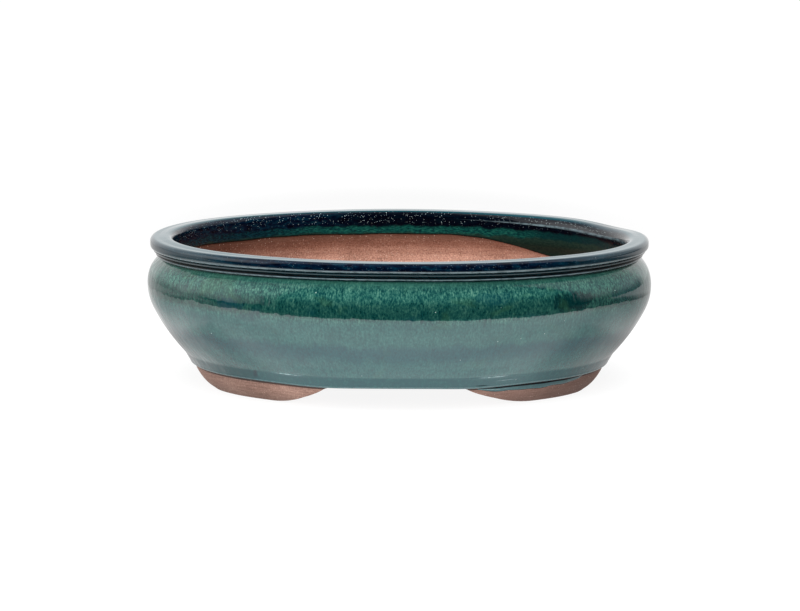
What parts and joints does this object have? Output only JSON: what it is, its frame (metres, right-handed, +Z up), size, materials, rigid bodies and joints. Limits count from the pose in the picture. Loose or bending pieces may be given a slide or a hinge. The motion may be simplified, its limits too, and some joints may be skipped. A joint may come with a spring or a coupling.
{
  "type": "oval flower bowl",
  "caption": "Low oval glazed stoneware bowl with a flat rolled lip, a beaded neck, a bulging wall, a bare clay inside and feet with arches between them.",
  "frame": {"origin": "middle of the footprint on the ground, under the feet", "axes": "+X along the length, +Z up, the front with the glaze run faces -Y"},
  "size_m": [0.255, 0.2124, 0.0745],
  "materials": {
    "clay": "bare fired red-brown stoneware with fine light grog",
    "green_glaze": "gloss teal green glaze with fine vertical streaks",
    "dark_glaze": "gloss navy-black glaze with fine light crystals"
  },
  "bodies": {
    "root": {"floor_slab": "clay", "belly_wall": "clay", "neck_moulding": "dark_glaze", "lip_coil": "clay", "base_cordon": "clay", "foot_front_left": "clay", "foot_front_right": "clay", "foot_rear_left": "clay", "foot_rear_right": "clay", "outer_glaze": "green_glaze", "lip_glaze": "dark_glaze", "foot_glaze_run": "green_glaze"}
  },
  "joints": []
}
